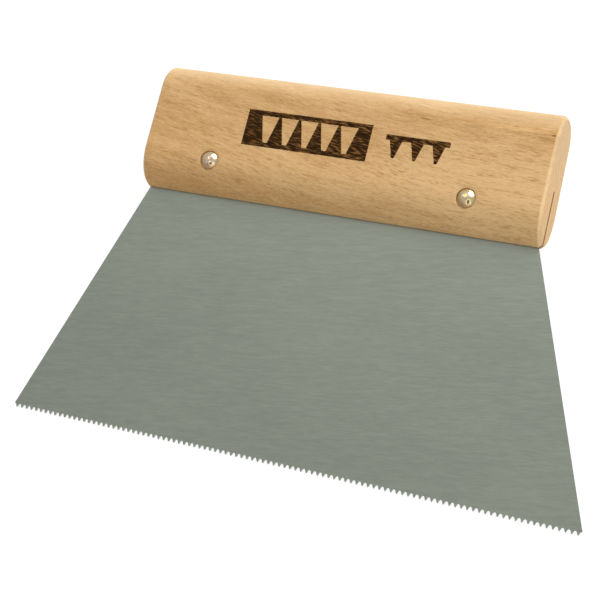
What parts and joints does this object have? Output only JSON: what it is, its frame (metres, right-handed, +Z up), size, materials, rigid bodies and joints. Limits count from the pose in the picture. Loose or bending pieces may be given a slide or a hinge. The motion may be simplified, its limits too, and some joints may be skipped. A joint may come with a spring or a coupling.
{
  "type": "notched trowel",
  "caption": "Adhesive trowel with a wide flared steel blade, a fine edge of round-bottomed V notches and a beech handle held by domed rivets.",
  "frame": {"origin": "middle of the tool's outline, on the surface it lies on", "axes": "+X along the toothed edge, +Y from the teeth towards the handle, +Z up out of the front face, with the tool lying on its back"},
  "size_m": [0.2084, 0.1322, 0.0235],
  "materials": {
    "handle": "planed beech, waxed",
    "blade": "matt ground spring steel",
    "rivet": "bright nickel plate"
  },
  "bodies": {
    "root": {"handle": "handle", "blade": "blade", "rivet_pin_left": "rivet", "rivet_pin_right": "rivet", "rivet_cap_left": "rivet", "rivet_cap_right": "rivet"}
  },
  "joints": []
}
